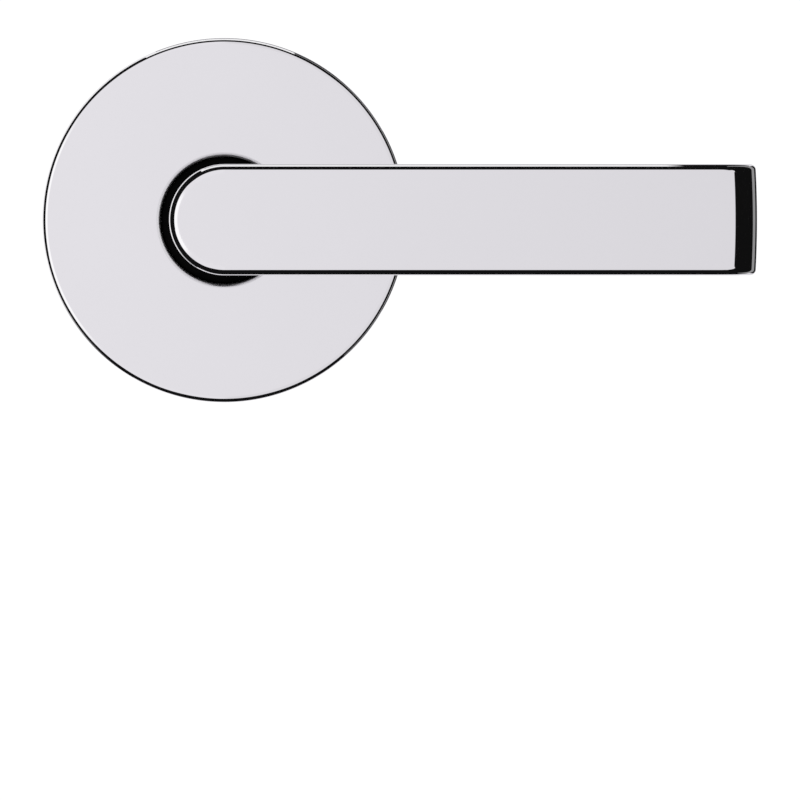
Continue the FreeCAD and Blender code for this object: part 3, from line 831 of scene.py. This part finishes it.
def strip(name, line, near, far):
    """A sheet from near to far along y that follows a line of (x, z, glow)."""
    points = [(x, y, z) for x, z, _ in line for y in (near, far)]
    faces = [(2 * k, 2 * k + 1, 2 * k + 3, 2 * k + 2) for k in range(len(line) - 1)]
    reflector(name, points, faces, [glow for _, _, glow in line for _ in range(2)])


def reflectors():
    """Sheets above and beside the levers that draw the fine light lines along their edges."""
    above = [(-0.096, 0.20, 0.95), (0.083, 0.20, 0.95), (0.086, 0.20, 0.1)]
    strip("top_card", above, -0.0675, 0.0675)
    side = [(RIGHT_CARD, z, glow) for z, glow in ((-0.2, 0.2), (-0.1, 0.29), (0.1, 0.29), (0.5, 0.5))]
    strip("right_card", side, -RIGHT_CARD_HALF, RIGHT_CARD_HALF)
    faint = [(RIGHT_CARD, z, 0.005) for z in (-0.1, 0.1)]
    for name, near, far in (("front", -0.16, -RIGHT_CARD_HALF), ("back", RIGHT_CARD_HALF, 0.16)):
        strip(f"right_{name}_screen", faint, near, far)
    # a screen bent round the levers' left ends, which fades out below them
    turns = np.radians(np.linspace(112, 240, 33))
    fading = 0.92 * (1 - smoothstep((turns - math.radians(195)) / math.radians(40)))
    bend = [(LEFT_SCREEN * math.cos(a), LEFT_SCREEN * math.sin(a), glow) for a, glow in zip(turns, fading)]
    strip("left_screen", bend, -0.021, 0.021)


def soft_light(name, position, target, size, power):
    """A large area light that lights dull surfaces and doesn't show in polished ones."""
    data = bpy.data.lights.new(name, "AREA")
    data.energy = power
    data.size = size
    obj = bpy.data.objects.new(name, data)
    obj.location = position
    obj.rotation_mode = "QUATERNION"
    obj.rotation_quaternion = (Vector(target) - Vector(position)).to_track_quat("-Z", "Y")
    obj.visible_glossy = False
    bpy.context.scene.collection.objects.link(obj)


def studio():
    studio_world()
    reflectors()
    soft_light("key", (-0.5, -0.6, 0.7), (0.03, 0, 0), 0.5, 2.2)
    soft_light("fill", (0.6, 0.5, 0.5), (0.03, 0, 0), 0.6, 1.4)
    corners = [(x * FLOOR_HALF, y * FLOOR_HALF, 0) for x, y in ((-1, -1), (1, -1), (1, 1), (-1, 1))]
    mesh = bpy.data.meshes.new("floor")
    mesh.from_pydata(corners, [], [(0, 1, 2, 3)])
    floor = bpy.data.objects.new("floor", mesh)
    floor.location = (0, 0, FLOOR_HEIGHT)
    floor.visible_glossy = False
    bpy.context.scene.collection.objects.link(floor)
    paint = Maker("studio_floor", (0.97, 0.97, 0.97), 0, 0.9)
    paint.set("Specular IOR Level", 0.0)
    paint.colours(paint.noise(3, 2), (0.965, 0.965, 0.965), (0.975, 0.975, 0.975))
    dress(floor, paint.material)


def camera():
    """Straight on to the outside face, from far away, with the handle in the picture's upper half."""
    data = bpy.data.cameras.new("camera")
    data.lens = LENS
    data.sensor_width = SENSOR
    data.clip_end = 100
    obj = bpy.data.objects.new("camera", data)
    distance = PICTURE_WIDTH * LENS / SENSOR
    rose_face = -(HALF_DOOR + ROSE_HEIGHT) * MM
    obj.location = (STAND[0], rose_face - distance, STAND[1])
    aim = Vector((PICTURE_CENTRE[0], rose_face, PICTURE_CENTRE[1])) - obj.location
    obj.rotation_mode = "QUATERNION"
    obj.rotation_quaternion = aim.to_track_quat("-Z", "Y")
    bpy.context.scene.collection.objects.link(obj)
    bpy.context.scene.camera = obj


studio()
camera()
bpy.context.scene.view_settings.view_transform = "Standard"
